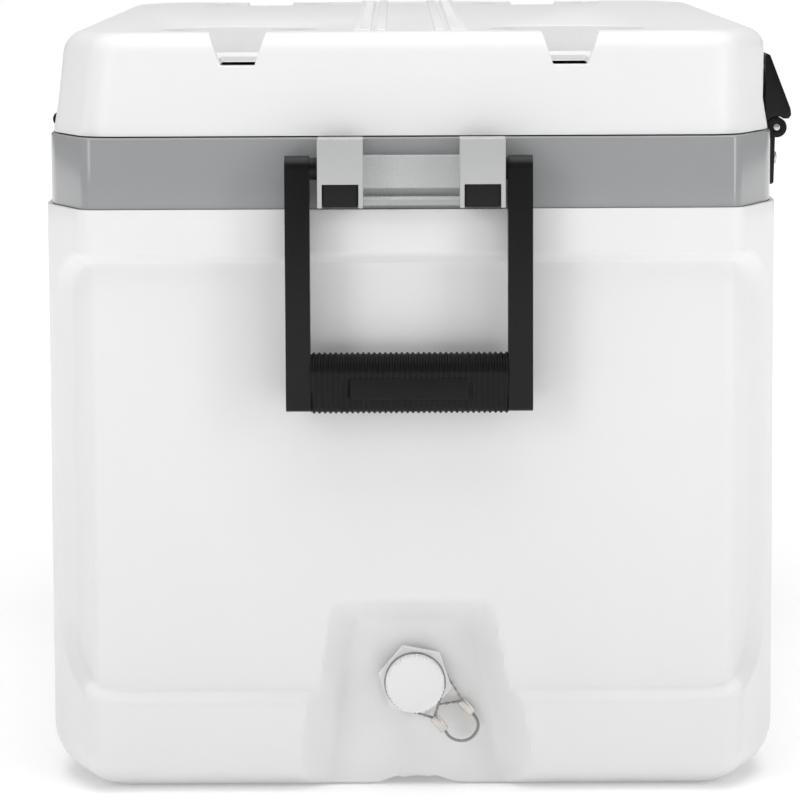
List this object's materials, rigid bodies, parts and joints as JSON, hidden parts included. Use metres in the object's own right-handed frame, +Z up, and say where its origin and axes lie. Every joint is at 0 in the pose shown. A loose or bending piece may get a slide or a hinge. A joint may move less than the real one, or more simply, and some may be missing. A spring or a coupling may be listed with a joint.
{
  "type": "cooler chest",
  "caption": "Insulated cooler chest with a hinged lid, cup rests, lever latches, swinging end handles and a tethered screw drain cap.",
  "frame": {"origin": "centre of the flat base, on the surface that the chest stands on", "axes": "+Z up, +X towards the latched front, +Y along the length from the drain end to the plain end"},
  "size_m": [0.4319, 0.701, 0.4265],
  "materials": {
    "white_shell": "satin",
    "liner_white": "satin",
    "insulation": "matte",
    "collar_grey": "gloss",
    "bracket_grey": "satin",
    "black_plastic": "satin",
    "black_rubber": "matte",
    "stainless": "satin",
    "cable_steel": "satin"
  },
  "bodies": {
    "root": {"body_shell": "white_shell", "body_foam": "insulation", "body_liner": "liner_white", "collar": "collar_grey", "handle_bracket_drain_end": "bracket_grey", "handle_bracket_plain_end": "bracket_grey", "handle_bushing_drain_end_left": "black_plastic", "handle_bushing_drain_end_right": "black_plastic", "handle_bushing_plain_end_left": "black_plastic", "handle_bushing_plain_end_right": "black_plastic", "latch_base_drain_end": "black_plastic", "latch_base_plain_end": "black_plastic", "latch_pin_drain_end": "stainless", "latch_pin_plain_end": "stainless", "latch_screw_drain_end_1": "stainless", "latch_screw_drain_end_2": "stainless", "latch_screw_plain_end_1": "stainless", "latch_screw_plain_end_2": "stainless", "hinge_body_leaf_drain_end": "black_plastic", "hinge_body_leaf_plain_end": "black_plastic", "hinge_pin_drain_end": "stainless", "hinge_pin_plain_end": "stainless", "hinge_body_screw_drain_end_1": "stainless", "hinge_body_screw_drain_end_2": "stainless", "hinge_body_screw_plain_end_1": "stainless", "hinge_body_screw_plain_end_2": "stainless", "drain_spout": "white_shell", "drain_nut": "white_shell", "drain_gasket": "black_rubber", "tether_cable": "cable_steel", "tether_eye_spout": "cable_steel", "tether_ferrule_spout": "stainless"},
    "lid": {"lid_shell": "white_shell", "lid_foam": "insulation", "lid_liner": "liner_white", "lid_gasket": "black_rubber", "hinge_lid_leaf_drain_end": "black_plastic", "hinge_lid_leaf_plain_end": "black_plastic", "hinge_lid_screw_drain_end_1": "stainless", "hinge_lid_screw_drain_end_2": "stainless", "hinge_lid_screw_plain_end_1": "stainless", "hinge_lid_screw_plain_end_2": "stainless"},
    "handle_drain_end": {"handle_frame_drain_end": "black_plastic", "handle_grip_drain_end": "black_rubber"},
    "latch_drain_end": {"latch_lever_drain_end": "black_plastic"},
    "handle_plain_end": {"handle_frame_plain_end": "black_plastic", "handle_grip_plain_end": "black_rubber"},
    "latch_plain_end": {"latch_lever_plain_end": "black_plastic"},
    "cap_travel": {"drain_cap_seal": "black_rubber", "tether_eye_cap": "cable_steel", "tether_ferrule_cap": "stainless"},
    "cap": {"drain_cap": "white_shell"}
  },
  "joints": [
    {"name": "lid_hinge", "type": "hinge", "parent": "root", "child": "lid", "pos_m": [-0.2086, 0, 0.3685], "axis": [0, -1, 0], "range_deg": [0, 100]},
    {"name": "handle_swing_drain_end", "type": "hinge", "parent": "root", "child": "handle_drain_end", "pos_m": [0, -0.341, 0.3516], "axis": [-1, 0, 0], "range_deg": [0, 110]},
    {"name": "latch_swing_drain_end", "type": "hinge", "parent": "root", "child": "latch_drain_end", "pos_m": [0.2105, -0.2, 0.3668], "axis": [0, 1, 0], "range_deg": [0, 110]},
    {"name": "handle_swing_plain_end", "type": "hinge", "parent": "root", "child": "handle_plain_end", "pos_m": [0, 0.341, 0.3516], "axis": [1, 0, 0], "range_deg": [0, 110]},
    {"name": "latch_swing_plain_end", "type": "hinge", "parent": "root", "child": "latch_plain_end", "pos_m": [0.2105, 0.2, 0.3668], "axis": [0, 1, 0], "range_deg": [0, 110]},
    {"name": "cap_slide", "type": "slide", "parent": "root", "child": "cap_travel", "axis": [0, -1, 0], "range_m": [0, 0.006]},
    {"name": "cap_turn", "type": "hinge", "parent": "cap_travel", "child": "cap", "pos_m": [0.001, -0.3185, 0.0616], "axis": [0, -1, 0], "range_deg": [0, 720]}
  ],
  "couplings": [
    {"joint": "cap_slide", "follows": "cap_turn", "m_per_rad": 0.000477}
  ]
}
